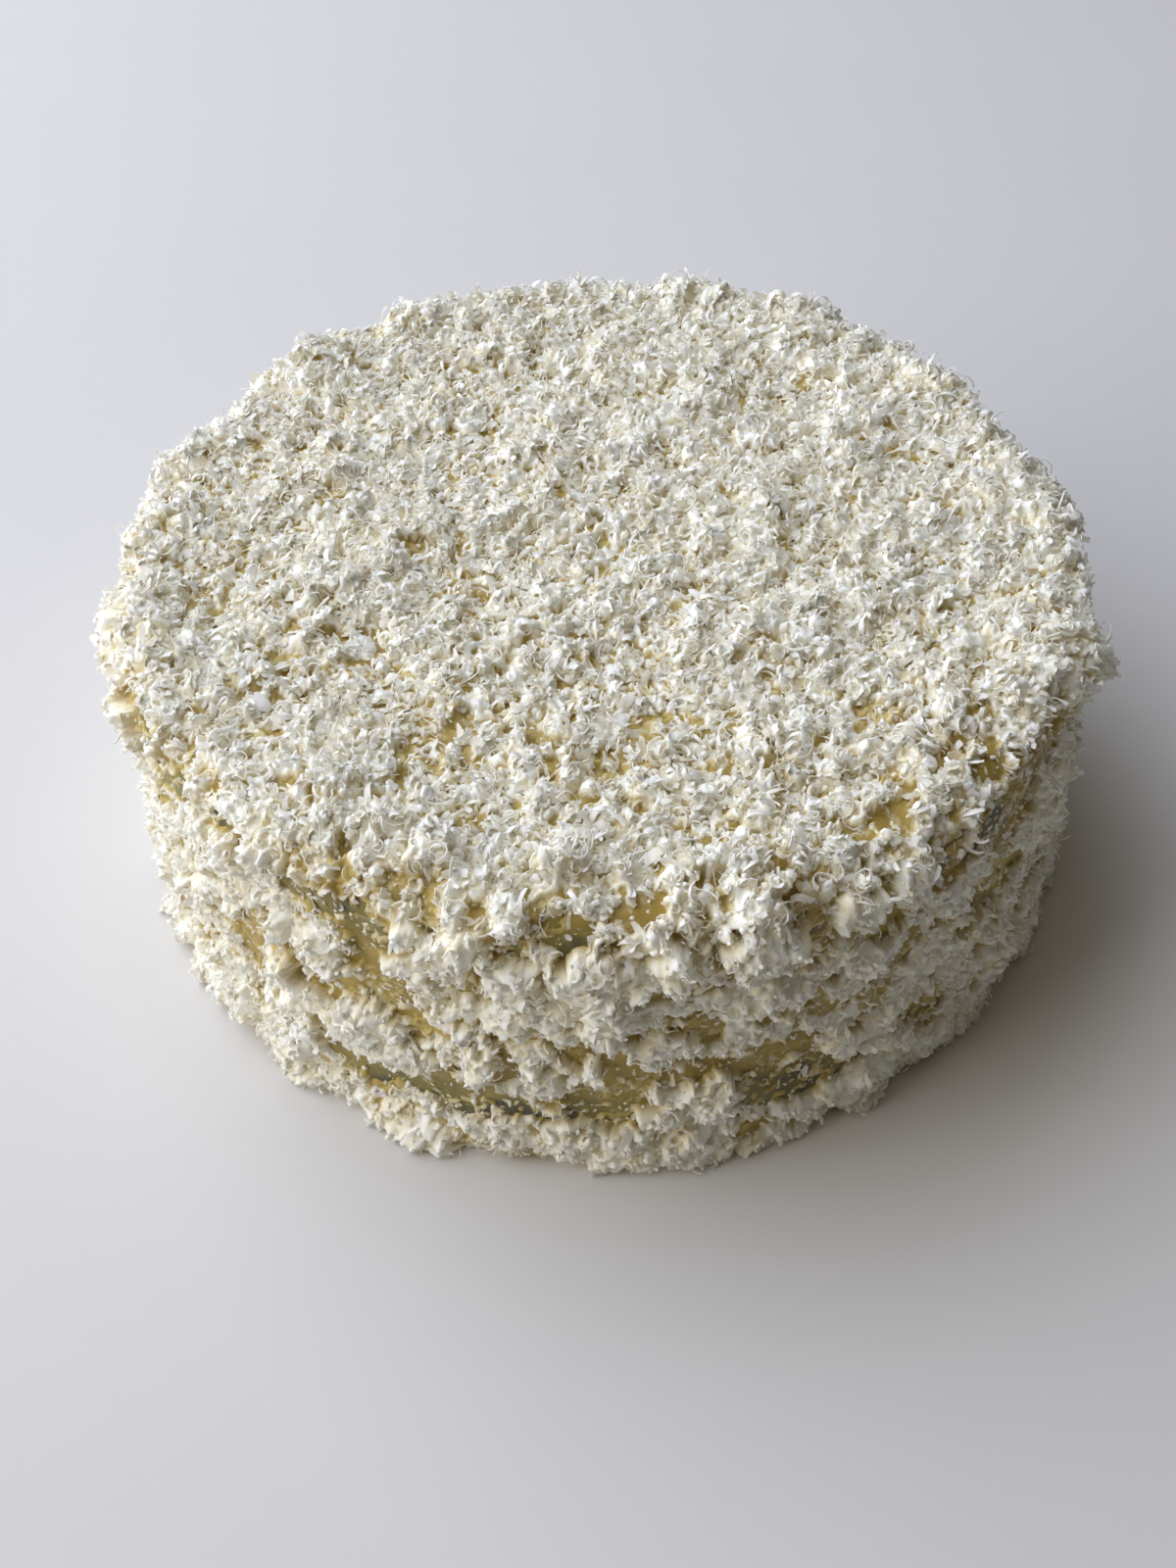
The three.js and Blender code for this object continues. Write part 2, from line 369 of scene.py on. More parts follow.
def cheese_form(points, normals, sizes):
    """How high the pressed cheese stands, how bare the custard is, and the cheese's tone, with painted
    shade in its pits.
    """
    up = normals[:, 2]
    where = unrolled(points, sizes.shoulder)
    deep = coat_depth(points, normals)
    edge = 0.45 * lumps(points, 4.0 * MM, 51) + 0.45 * lumps(points, 1.9 * MM, 52)
    bare = bareness(points, where, up, edge)
    # The tufts on the top lie in ridges that run from its front left to its back right.
    ridge = np.array((0.64, 0.77, 0.0))
    combed = points - 0.45 * (points @ ridge)[:, None] * ridge
    tuft = 1 - smoothstep(pebbles(combed, sizes.tuft, 31), 0.0, 0.85)
    ragged = roughened(points, 2.6 * MM, 1.5 * MM, 61)
    clot = 1 - smoothstep(pebbles(ragged, sizes.clot, 21), 0.30, 0.66)
    lump = 1 - smoothstep(pebbles(ragged, sizes.lump, 26), 0.25, 0.70)
    torn = roughened(points, 1.5 * MM, 0.5 * MM, 71)
    coarse, mark = plates(torn, sizes.plate, 45)
    fine, fine_mark = plates(torn, 0.6 * sizes.plate, 55)
    chips, _ = plates(torn, 0.35 * sizes.plate, 65)
    matted = np.maximum(0.9 * coarse, 0.6 * fine) + 0.3 * chips - 0.06
    relief = (0.65 + 0.2 * up) * sizes.plate * matted
    mark = np.where(0.9 * coarse > 0.6 * fine, mark, fine_mark)

    # Painted shade: the cheese is coloured creamier in the low pits between its plates and tufts, more on
    # the top than on the side.
    pit_shade = 1 - smoothstep(relief + 0.9 * MM * tuft, 0.15 * MM, 1.05 * MM)
    sunk = hollow(points, edge)
    soaked = gaps(torn, up, sunk) * (1 - (1 - up) * clot)
    rolling = lumps(combed, 13 * MM, 33)
    top = deep - 3.3 * MM + 2.6 * MM * tuft + 0.8 * MM * rolling
    top -= 2.2 * MM * sunk
    top -= 1.4 * MM * soaked
    side = 0.2 * MM + 0.95 * (deep - 0.6 * MM) * clot + 1.2 * MM * lump * (1 - 0.7 * soaked)
    base = up * top + (1 - up) * side
    for place in CLUMPS:
        stand = 1 - smoothstep(place_distance(where, place) + edge, 0.4, 1.15)
        base = np.maximum(base, stand * (1.15 * place[4] + 0.8 * tuft + 0.8 * up) * MM)
        bare = bare * (1 - smoothstep(stand, 0.1, 0.5))
        soaked = soaked * (1 - stand)
    height = base * (1 - bare) + relief * (1 - 0.4 * np.maximum(bare, soaked)) - 0.65 * MM * bare
    poking = smoothstep(relief, 0.6 * MM, 1.3 * MM)
    # The tone holds the random marks, the painted shade of the pits, the soaked gaps and the bare custard.
    tone = 0.02 + 0.10 * mark + 0.48 * pit_shade * (0.55 + 0.45 * up) + 0.75 * soaked
    tone += 0.8 * bare * (1 - 0.7 * poking)
    return height + custard_lift(points, sizes), np.maximum(bare, 0.85 * soaked), np.clip(tone, 0, 1)


# ---------------- mesh helpers

def deselect_all():
    """Leaves edit mode and clears the selection."""
    if bpy.context.object and bpy.context.object.mode != "OBJECT":
        bpy.ops.object.mode_set(mode="OBJECT")
    bpy.ops.object.select_all(action="DESELECT")


def apply_modifier(piece, kind, **settings):
    """Adds a modifier to the active piece and applies it."""
    modifier = piece.modifiers.new(kind.title(), kind)
    for key, value in settings.items():
        setattr(modifier, key, value)
    bpy.ops.object.modifier_apply(modifier=modifier.name)


def vertices_of(piece):
    """The piece's points, one to a row."""
    co = np.empty(len(piece.data.vertices) * 3)
    piece.data.vertices.foreach_get("co", co)
    return co.reshape(-1, 3)


def set_vertices(piece, points):
    """Moves the piece's points."""
    piece.data.vertices.foreach_set("co", points.astype(np.float32).ravel())
    piece.data.update()


def add_drum(name, sizes, voxel):
    """Adds the drum with an even net of faces all over and one plain face underneath."""
    deselect_all()
    middle = Vector(DRUM_MIDDLE) + Vector((0, 0, DRUM_HEIGHT / 2))
    bpy.ops.mesh.primitive_cylinder_add(
        vertices=256, radius=DRUM_RADIUS, depth=DRUM_HEIGHT, location=middle)
    drum = bpy.context.object
    drum.name = name
    drum.data.name = name
    bpy.ops.object.transform_apply(location=True, rotation=True, scale=True)
    select_where(drum, "FACE", lambda face: face.normal.z > 0.9)
    bpy.ops.mesh.region_to_loop()
    bpy.ops.mesh.bevel(offset=sizes.shoulder, offset_type="OFFSET", segments=8, profile=0.5)
    bpy.ops.object.mode_set(mode="OBJECT")
    apply_modifier(drum, "REMESH", mode="VOXEL", voxel_size=voxel, use_smooth_shade=True)
    select_where(drum, "FACE", lambda face: face.normal.z < -0.9)
    bpy.ops.mesh.delete(type="FACE")
    bpy.ops.mesh.select_mode(type="VERT")
    bpy.ops.mesh.select_all(action="DESELECT")
    bpy.ops.mesh.select_non_manifold()
    bpy.ops.mesh.edge_face_add()
    bpy.ops.object.mode_set(mode="OBJECT")
    return drum


def select_where(piece, kind, chosen):
    """Goes into edit mode with only the chosen vertices (VERT) or faces (FACE) selected."""
    bpy.ops.object.mode_set(mode="EDIT")
    bpy.ops.mesh.select_mode(type=kind)
    bpy.ops.mesh.select_all(action="DESELECT")
    bpy.ops.object.mode_set(mode="OBJECT")
    for element in piece.data.vertices if kind == "VERT" else piece.data.polygons:
        element.select = chosen(element)
    bpy.ops.object.mode_set(mode="EDIT")


def shade_smooth(piece, sharpest=math.radians(180)):
    """Smooths a piece's shading, except over edges sharper than the given angle."""
    deselect_all()
    piece.select_set(True)
    bpy.context.view_layer.objects.active = piece
    bpy.ops.object.shade_smooth_by_angle(angle=sharpest)


def finish_piece(piece, slot, material, *nodes):
    """Gives the piece its material, and says what it rides on and what it replaces; its slot is not used.
    """
    piece.data.materials.clear()
    piece.data.materials.append(material)
    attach(piece, BODY)
    if nodes:
        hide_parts(*nodes)


# ---------------- materials

def add_node(tree, kind, settings=None, **links):
    """Adds a node, sets its properties and unlinked sockets, and links the rest."""
    node = tree.nodes.new(kind)
    for key, value in (settings or {}).items():
        if isinstance(key, str) and hasattr(node, key):
            setattr(node, key, value)
        else:
            node.inputs[key].default_value = value
    for key, source in links.items():
        numbered = key[0] == "_" and key[1:].isdigit()
        socket = int(key[1:]) if numbered else key.replace("_", " ")
        tree.links.new(source, node.inputs[socket])
    return node


def add_noise(tree, place, size, detail):
    """Uneven patches about `size` across."""
    texture = add_node(
        tree, "ShaderNodeTexNoise", {"Scale": 1 / size, "Detail": detail}, Vector=place)
    return texture.outputs["Fac"]


def add_bump(tree, height, strength, distance):
    """Fine unevenness that catches the light."""
    bump = add_node(
        tree, "ShaderNodeBump", {"Strength": strength, "Distance": distance}, Height=height)
    return bump.outputs["Normal"]


def add_surface(tree, settings, **links):
    """The shader that all the rest feeds, and the material's output."""
    shader = add_node(tree, "ShaderNodeBsdfPrincipled", settings, **links)
    add_node(tree, "ShaderNodeOutputMaterial", Surface=shader.outputs["BSDF"])


def new_material(name):
    """An empty material, its node tree and the place in the object that its patterns follow."""
    material = bpy.data.materials.new(name)
    material.use_nodes = True
    tree = material.node_tree
    tree.nodes.clear()
    return material, tree, add_node(tree, "ShaderNodeTexCoord").outputs["Object"]


def rgba(colour_value):
    """The colour, opaque."""
    return (*colour_value, 1.0)


def grated_cheese(colours):
    """Semi-hard white cheese, finely grated: pale and moist, and light soaks through thin shreds."""
    name = "grated white cheese"
    if name in bpy.data.materials:
        return bpy.data.materials[name]
    material, tree, place = new_material(name)
    tone = add_node(tree, "ShaderNodeAttribute", {"attribute_name": "tone"}).outputs["Fac"]
    patchy = add_node(
        tree, "ShaderNodeMapRange", {"From Min": 0.35, "From Max": 0.75, "To Max": 0.14},
        Value=add_noise(tree, place, 3.5 * MM, 2.0))
    tint = add_node(
        tree, "ShaderNodeMath", {"operation": "ADD", "use_clamp": True},
        _0=tone, _1=patchy.outputs["Result"])
    ramp = add_node(tree, "ShaderNodeValToRGB", _0=tint.outputs["Value"])
    stops = ramp.color_ramp.elements
    stops[0].color = rgba(colours.cheese)
    stops[1].color = rgba(colours.cheese_soaked)
    # The cream stop is also the painted shade of the pits and of the shreds low in the pile.
    stops.new(0.45).color = rgba(colours.cheese_cream_and_shade)
    fuzz = add_bump(tree, add_noise(tree, place, 0.55 * MM, 3.0), 0.4, 0.22 * MM)
    add_surface(
        tree,
        {"Roughness": 0.46, "IOR": 1.42, "Subsurface Weight": 0.5, "Subsurface Scale": 0.8 * MM,
         "Subsurface Radius": (1.0, 0.97, 0.9)},
        Base_Color=ramp.outputs["Color"], Normal=fuzz)
    return material


def yema_custard(colours):
    """Cooked egg-yolk custard, spread and set: mottled and softly glossy, with painted shade in olive and
    dark spots at the foot and just under the rim.
    """
    material, tree, place = new_material("yema custard")
    height = add_node(tree, "ShaderNodeSeparateXYZ", Vector=place).outputs["Z"]
    level = add_node(tree, "ShaderNodeMapRange", {"From Max": DRUM_HEIGHT}, Value=height)
    ramp = add_node(tree, "ShaderNodeValToRGB", _0=level.outputs["Result"])
    ramp.color_ramp.elements[1].position = 0.99
    ramp.color_ramp.elements[1].color = (0, 0, 0, 1)
    # 1 at the foot and just under the rim, where the olive and dark spots of painted shade show, and near
    # 0 between.
    stops = ((0.0, 1.0), (0.27, 0.9), (0.36, 0.1), (0.76, 0.15), (0.86, 0.9), (0.95, 0.8))
    for position, value in stops:
        ramp.color_ramp.elements.new(position).color = (value, value, value, 1)

    def noise(size, w, low, high):
        """Patches about `size` across, between 0 and 1."""
        texture = add_node(
            tree, "ShaderNodeTexNoise",
            {"noise_dimensions": "4D", "Scale": 1 / size, "Detail": 3.0, "W": w}, Vector=place)
        spread = add_node(
            tree, "ShaderNodeMapRange", {"From Min": low, "From Max": high},
            Value=texture.outputs["Fac"])
        return spread.outputs["Result"]

    def part(first, second):
        """Only where both amounts are high."""
        both = add_node(tree, "ShaderNodeMath", {"operation": "MULTIPLY"}, _0=first, _1=second)
        return both.outputs["Value"]

    def blend(amount, under, over):
        """A mix of what lies under, a socket or a colour, and a colour over it."""
        mix = add_node(tree, "ShaderNodeMix", {"data_type": "RGBA"}, Factor=amount)
        if isinstance(under, bpy.types.NodeSocket):
            tree.links.new(under, mix.inputs[6])
        else:
            mix.inputs[6].default_value = rgba(under)
        mix.inputs[7].default_value = rgba(over)
        return mix.outputs[2]

    rim = ramp.outputs["Color"]
    tint = blend(noise(6 * MM, 1.0, 0.40, 0.62), colours.custard, colours.custard_ochre)
    # Painted shade in olive at the foot and just under the rim.
    tint = blend(part(rim, noise(20 * MM, 2.0, 0.36, 0.54)), tint, colours.custard_olive_shade)
    smeared = part(noise(1.8 * MM, 4.0, 0.52, 0.74), noise(7 * MM, 5.0, 0.44, 0.66))
    tint = blend(smeared, tint, colours.cheese_cream_and_shade)
    # Painted shade: dark spots at the foot and just under the rim.
    tint = blend(part(rim, noise(9 * MM, 3.0, 0.53, 0.62)), tint, colours.custard_dark_shade)
    strokes = add_bump(tree, add_noise(tree, place, 1.4 * MM, 4.0), 0.7, 0.4 * MM)
    add_surface(
        tree,
        {"Roughness": 0.42, "IOR": 1.42, "Subsurface Weight": 0.3, "Subsurface Scale": 1.5 * MM,
         "Subsurface Radius": (1.0, 0.6, 0.2)},
        Base_Color=tint, Normal=strokes)
    return material


def painted_floor(colours):
    """A plain pale matte sheet, with only a faint unevenness."""
    material, tree, place = new_material("matte white card")
    grain = add_noise(tree, place, 60 * MM, 3.0)
    tone = add_node(tree, "ShaderNodeMix", {"data_type": "RGBA"}, Factor=grain)
    tone.inputs[6].default_value = rgba(colours.floor)
    tone.inputs[7].default_value = rgba([0.97 * c for c in colours.floor])
    add_surface(tree, {"Roughness": 0.8}, Base_Color=tone.outputs[2])
    return material


# ---------------- patterns for the shreds

def pattern_arrays(piece):
    """A finished pattern's points and triangles; the pattern itself is then thrown away."""
    bpy.ops.mesh.normals_make_consistent(inside=False)
    bpy.ops.object.mode_set(mode="OBJECT")
    piece.data.calc_loop_triangles()
    points = vertices_of(piece)
    triangles = np.array([t.vertices[:] for t in piece.data.loop_triangles], np.int64)
    bpy.data.objects.remove(piece)
    return points, triangles


def strip_pattern(segments):
    """A unit ribbon along X, thick at one edge and thin at the other, closed at both ends."""
    deselect_all()
    bpy.ops.mesh.primitive_grid_add(
        x_subdivisions=segments, y_subdivisions=1, size=1, location=(0, 0, -0.5))
    strip = bpy.context.object
    bpy.ops.object.transform_apply(location=True, rotation=True, scale=True)
    bpy.ops.object.mode_set(mode="EDIT")
    bpy.ops.mesh.select_all(action="SELECT")
    bpy.ops.mesh.quads_convert_to_tris(quad_method="FIXED")
    bpy.ops.mesh.extrude_region_move(TRANSFORM_OT_translate={"value": (0, 0, 1)})
    select_where(strip, "VERT", lambda vertex: vertex.co.y < -0.4)
    bpy.ops.transform.resize(value=(1, 1, 0), center_override=(0, 0, 0))
    bpy.ops.mesh.select_all(action="SELECT")
    bpy.ops.mesh.remove_doubles(threshold=0.001)
    bpy.ops.mesh.quads_convert_to_tris(quad_method="FIXED")
    return pattern_arrays(strip)


def petal_pattern(segments):
    """A unit shaving along X, thick down its middle line and thin all round its edge."""
    deselect_all()
    bpy.ops.mesh.primitive_grid_add(x_subdivisions=segments, y_subdivisions=2, size=1)
    petal = bpy.context.object
    select_where(petal, "VERT", lambda vertex: max(abs(vertex.co.x), abs(vertex.co.y)) < 0.49)
    bpy.ops.transform.translate(value=(0, 0, 0.5))
    bpy.ops.mesh.select_all(action="SELECT")
    bpy.ops.mesh.quads_convert_to_tris(quad_method="LONGEST_DIAGONAL")
    bpy.ops.mesh.duplicate()
    bpy.ops.transform.resize(value=(1, 1, -1), center_override=(0, 0, 0))
    bpy.ops.mesh.select_all(action="SELECT")
    bpy.ops.mesh.remove_doubles(threshold=0.001)
    return pattern_arrays(petal)


def disc_pattern(corners):
    """A unit flake: a rim of corners with one point over and one under the middle."""
    deselect_all()
    bpy.ops.mesh.primitive_cone_add(
        vertices=corners, radius1=0.5, radius2=0, depth=0.5, end_fill_type="TRIFAN",
        location=(0, 0, 0.25))
    flake = bpy.context.object
    bpy.ops.object.transform_apply(location=True, rotation=True, scale=True)
    select_where(flake, "VERT", lambda vertex: vertex.co.length < 0.01)
    bpy.ops.transform.translate(value=(0, 0, -0.5))
    bpy.ops.mesh.select_all(action="SELECT")
    return pattern_arrays(flake)


def crumb_pattern():
    """A unit crumb: a small lump with twenty faces, knocked out of round."""
    deselect_all()
    bpy.ops.mesh.primitive_ico_sphere_add(subdivisions=1, radius=0.5)
    crumb = bpy.context.object
    bpy.ops.object.mode_set(mode="EDIT")
    bpy.ops.transform.vertex_random(offset=0.12, seed=4)
    return pattern_arrays(crumb)


# ---------------- strewing

def turned(rows, axis, angle):
    """Rows of points, each row turned about a coordinate axis by its own angle."""
    c, s = np.cos(angle)[:, None], np.sin(angle)[:, None]
    a, b = [(1, 2), (2, 0), (0, 1)][axis]
    result = rows.copy()
    result[..., a] = rows[..., a] * c - rows[..., b] * s
    result[..., b] = rows[..., a] * s + rows[..., b] * c
    return result


def swung(first, second, angle):
    """Two directions at right angles to each other, turned together by an angle."""
    c, s = np.cos(angle)[:, None], np.sin(angle)[:, None]
    return c * first + s * second, c * second - s * first


def wound(pattern, lengths, widths, thickness, cups, bends, twists, sways):
    """Copies of a strip, each carried along its own path that bends, twists and sways on its way."""
    count = len(lengths)
    stations = np.unique(np.round(pattern[:, 0], 4))
    station_of = np.searchsorted(stations, pattern[:, 0] - 0.001)
    step = (lengths / (len(stations) - 1))[:, None]
    ahead, side, over = (np.tile(axis, (count, 1)) for axis in np.eye(3))
    spot = np.zeros((count, 3))
    rows = np.empty((count, len(pattern), 3))
    for i in range(len(stations)):
        here = station_of == i
        across = pattern[here, 1] * widths[:, i:i + 1]
        rise = pattern[here, 2] * thickness + cups[:, None] * across ** 2
        offset = across[..., None] * side[:, None] + rise[..., None] * over[:, None]
        rows[:, here] = spot[:, None] + offset
        if i == len(stations) - 1:
            break
        ahead, over = swung(ahead, over, bends[:, i])
        side, over = swung(side, over, twists[:, i])
        ahead, side = swung(ahead, side, sways[:, i])
        spot = spot + step * ahead
    return rows - rows.mean(axis=1, keepdims=True)


def stood(rows, places, normals, spin):
    """Rows of points, each row set at its place with Z along its normal and turned by its spin."""
    rows = turned(rows, 2, spin)
    side = np.cross(normals, np.array((0.3, 0.1, 1.0)))
    side /= np.linalg.norm(side, axis=1, keepdims=True)
    ahead = np.cross(normals, side)
    axes = np.stack((side, ahead, normals), axis=1)
    return np.einsum("nvi,nij->nvj", rows, axes) + places[:, None, :]


# Loose cheese stays this far over the floor, and none starts from lower than this.
LEAST_HEIGHT = 0.15 * MM
LOWEST_START = 1.0 * MM
# Edges of the shreds that are sharper than this stay crisp.
CRISP = math.radians(65)


def joined(name, rows, triangles, tone):
    """One mesh from many copies of a pattern, each with its own points and its own tone."""
    count, per = rows.shape[:2]
    points = rows.reshape(-1, 3)
    points[:, 2] = np.maximum(points[:, 2], LEAST_HEIGHT)
    faces = (triangles[None] + per * np.arange(count)[:, None, None]).reshape(-1, 3)
    mesh = bpy.data.meshes.new(name)
    mesh.vertices.add(len(points))
    mesh.vertices.foreach_set("co", points.astype(np.float32).ravel())
    mesh.loops.add(faces.size)
    mesh.loops.foreach_set("vertex_index", faces.astype(np.int32).ravel())
    mesh.polygons.add(len(faces))
    mesh.polygons.foreach_set("loop_start", np.arange(0, faces.size, 3, dtype=np.int32))
    mesh.update(calc_edges=True)
    tones = mesh.attributes.new("tone", "FLOAT", "POINT")
    tones.data.foreach_set("value", np.repeat(tone, per).astype(np.float32))
    piece = bpy.data.objects.new(name, mesh)
    bpy.context.scene.collection.objects.link(piece)
    shade_smooth(piece, CRISP)
    return piece


def read_values(data, key, width=1, kind=float):
    """One property of every element of mesh data, as an array."""
    values = np.empty(len(data) * width, kind)
    data.foreach_get(key, values)
    return values.reshape(-1, width) if width > 1 else values


def bed_surface():
    """The pressed cheese's triangles: corners, normals, how bare each is, its tone with the painted shade
    in its pits, and areas.
    """
    bed = bpy.data.objects.get(BED)
    if bed is None:
        raise RuntimeError("The pressed cheese has to be added before anything is strewn on it")
    mesh = bed.data
    mesh.calc_loop_triangles()
    triangles = read_values(mesh.loop_triangles, "vertices", 3, np.int32)
    polygons = read_values(mesh.loop_triangles, "polygon_index", 1, np.int32)
    # The underside is one face with many corners, and nothing lies on it.
    triangles = triangles[read_values(mesh.polygons, "loop_total", 1, np.int32)[polygons] <= 4]
    corners = vertices_of(bed)[triangles]
    normals = read_values(mesh.vertices, "normal", 3)[triangles]
    bare, tone = (
        read_values(mesh.attributes[key].data, "value")[triangles].mean(axis=1)
        for key in ("bare", "tone"))
    cross = np.cross(corners[:, 1] - corners[:, 0], corners[:, 2] - corners[:, 0])
    area = np.linalg.norm(cross, axis=1) / 2
    area[corners[..., 2].max(axis=1) < LOWEST_START] = 0
    return corners, normals, bare, tone, area


def resting_places(count, rng, sizes, top_share, on_bare, lift):
    """Where shreds come to rest: their places, the way each faces and each one's tone, with painted shade
    on those low in the pile.

    `top_share` of them lie on the top, `on_bare` is how readily they lie on bare custard next to
    cheese, and `lift` is how far up the loose pile they go.
    """
    corners, normals, bare, tone, area = bed_surface()
    weight = area * (1 - (1 - on_bare) * smoothstep(bare, 0.45, 0.85))
    on_top = normals[:, 0, 2] + (corners[:, 0, 2] - DRUM_HEIGHT) / (10 * MM) > 0.6
    weight[on_top] *= top_share / weight[on_top].sum()
    weight[~on_top] *= (1 - top_share) / weight[~on_top].sum()
    pick = rng.choice(len(weight), size=count, p=weight / weight.sum())
    mix = rng.dirichlet((1, 1, 1), count)[..., None]
    places = (corners[pick] * mix).sum(axis=1)
    drum = drum_normals(places, sizes.shoulder)
    facing = (normals[pick] * mix).sum(axis=1) + 0.7 * drum
    facing /= np.linalg.norm(facing, axis=1, keepdims=True)
    pile = rng.uniform(0, 1, count)
    raised = (bare[pick] > 0.8) * BARE_DEPTH
    raised = raised + (0.05 + 0.95 * pile) * lift * (1 - 0.7 * bare[pick])
    # Painted shade: shreds low in the pile take on the bed's tone with its painted shade in the pits, and
    # a random few are creamier.
    creamy_and_shade = 0.45 * tone[pick] * (1 - 0.7 * pile) + 0.25 * rng.uniform(0, 1, count) ** 3
    return places + drum * raised[:, None], facing, creamy_and_shade


def varied(rng, count, usual, spread):
    """Sizes about a usual one, spread in proportion and skewed to the large side."""
    return usual * np.exp(spread * np.clip(rng.normal(0, 1, count), -2, 1.8))


class Cut(NamedTuple):
    """One kind of strip: how many, in how many segments, how it winds and where it rests.

    Angles are in radians, end to end.
    """
    count: int
    segments: int
    least_bend: float
    most_bend: float
    twist: float
    sway: float
    tilt: float
    on_edge: float
    taper: float
    cup: float
    top_share: float
    on_bare: float
    lift: float


CURLS = Cut(
    count=3200, segments=10, least_bend=3.5, most_bend=7.5, twist=1.2, sway=1.0, tilt=0.30,
    on_edge=0.6, taper=0.35, cup=0.0, top_share=0.72, on_bare=0.10, lift=0.7 * MM)
RIBBONS = Cut(
    count=6200, segments=5, least_bend=1.2, most_bend=4.5, twist=1.6, sway=0.8, tilt=0.25,
    on_edge=0.4, taper=0.45, cup=0.0, top_share=0.58, on_bare=0.12, lift=0.6 * MM)
THREADS = Cut(
    count=2400, segments=6, least_bend=1.0, most_bend=5.0, twist=1.5, sway=2.0, tilt=0.25,
    on_edge=0.4, taper=0.30, cup=0.0, top_share=0.62, on_bare=0.30, lift=0.8 * MM)
PETALS = Cut(
    count=6200, segments=4, least_bend=0.6, most_bend=2.6, twist=0.7, sway=0.4, tilt=0.22,
    on_edge=0.0, taper=0.50, cup=120.0, top_share=0.60, on_bare=0.06, lift=0.5 * MM)
FLAKES = 12500
CRUMBS = 4500


def strew_strips(name, cut, pattern, sizes, usual_length, usual_width, seed):
    """Curls, ribbons, threads or shavings, each wound and laid down in its own way."""
    rng = np.random.default_rng(sizes.seed * 100 + seed)
    points, triangles = pattern
    count, segments = cut.count, cut.segments
    places, facing, creamy_and_shade = resting_places(
        count, rng, sizes, cut.top_share, cut.on_bare, cut.lift)
    lengths = varied(rng, count, usual_length, 0.32) * (0.65 + 0.35 * facing[:, 2])
    widths = varied(rng, count, usual_width, 0.30)[:, None]
    widths = widths * rng.uniform(0.8, 1.2, (count, segments + 1))
    ends = np.abs(np.linspace(-1, 1, segments + 1)) ** 3
    widths *= 1 - cut.taper * ends * rng.uniform(0.2, 1.6, (count, 1))
    whole = rng.uniform(cut.least_bend, cut.most_bend, (count, 1))
    whole = whole * rng.choice((-1, 1), (count, 1))
    bends = whole / segments * rng.uniform(0.5, 1.5, (count, segments))
    twists = rng.normal(0, cut.twist / segments, (count, 1))
    twists = twists + rng.normal(0, 0.12, (count, segments))
    sways = rng.normal(0, cut.sway / segments, (count, 1))
    sways = sways + rng.normal(0, 0.08, (count, segments))
    cups = rng.normal(0, 1, count) * cut.cup
    rows = wound(points, lengths, widths, sizes.shred_thickness, cups, bends, twists, sways)
    on_edge = (rng.uniform(0, 1, count) < cut.on_edge) * math.pi / 2
    rows = turned(rows, 0, on_edge + rng.normal(0, cut.tilt, count))
    rows = turned(rows, 1, rng.normal(0, cut.tilt, count))
    rows = stood(rows, places, facing, rng.uniform(0, 2 * math.pi, count))
    return joined(name, rows, triangles, creamy_and_shade)


def strew_flakes(name, sizes, seed):
    """Thin flakes with uneven rims, each a little bent."""
    rng = np.random.default_rng(sizes.seed * 100 + seed)
    places, facing, creamy_and_shade = resting_places(
        FLAKES, rng, sizes, top_share=0.42, on_bare=0.45, lift=0.5 * MM)
    points, triangles = disc_pattern(6)
    rows = np.repeat(points[None], FLAKES, axis=0)
    rim = np.linalg.norm(points[:, :2], axis=1) > 0.1
    uneven = rng.uniform(0.65, 1.35, rows.shape[:2])
    rows[..., :2] *= np.where(rim, uneven, 1)[..., None]
    across = varied(rng, FLAKES, sizes.flake_width, 0.35)
    rows[..., 0] *= (across * rng.uniform(1.0, 1.7, FLAKES))[:, None]
    rows[..., 1] *= (across * rng.uniform(0.6, 1.0, FLAKES))[:, None]
    rows[..., 2] *= sizes.shred_thickness
    curve = rng.normal(0, 0.5, (FLAKES, 1)) / sizes.flake_width
    rows[..., 2] += curve * rows[..., 0] ** 2
    rows[..., 2] += np.where(rim, rng.normal(0, 0.08, rows.shape[:2]), 0) * across[:, None]
    rows = turned(rows, 0, rng.normal(0, 0.28, FLAKES))
    rows = turned(rows, 1, rng.normal(0, 0.28, FLAKES))
    rows = stood(rows, places, facing, rng.uniform(0, 2 * math.pi, FLAKES))
    return joined(name, rows, triangles, creamy_and_shade)


def strew_crumbs(name, sizes, seed):
    """Small crumbs, no two of the same shape."""
    rng = np.random.default_rng(sizes.seed * 100 + seed)
    places, facing, creamy_and_shade = resting_places(
        CRUMBS, rng, sizes, top_share=0.38, on_bare=0.50, lift=0.4 * MM)
    points, triangles = crumb_pattern()
    rows = np.repeat(points[None], CRUMBS, axis=0)
    rows *= rng.uniform(0.75, 1.3, rows.shape[:2])[..., None]
    rows *= varied(rng, CRUMBS, sizes.crumb_width, 0.35)[:, None, None]
    rows *= rng.uniform(0.7, 1.3, (CRUMBS, 1, 3))
    rows = turned(rows, 0, rng.uniform(0, 6, CRUMBS))
    rows = stood(rows, places, facing, rng.uniform(0, 2 * math.pi, CRUMBS))
    return joined(name, rows, triangles, creamy_and_shade)


# ---------------- operators

# How fine the nets of faces are, and how far up from the floor they begin to rise and fall.
CUSTARD_NET = 1.5 * MM
CUSTARD_START = 4 * MM
BED_NET = 0.46 * MM
BED_START = (0.1 * MM, 1.2 * MM)


def chosen_settings(context):
    """The sizes and the colours as they stand in the sidebar."""
    return context.scene.yema_sizes, context.scene.yema_colours


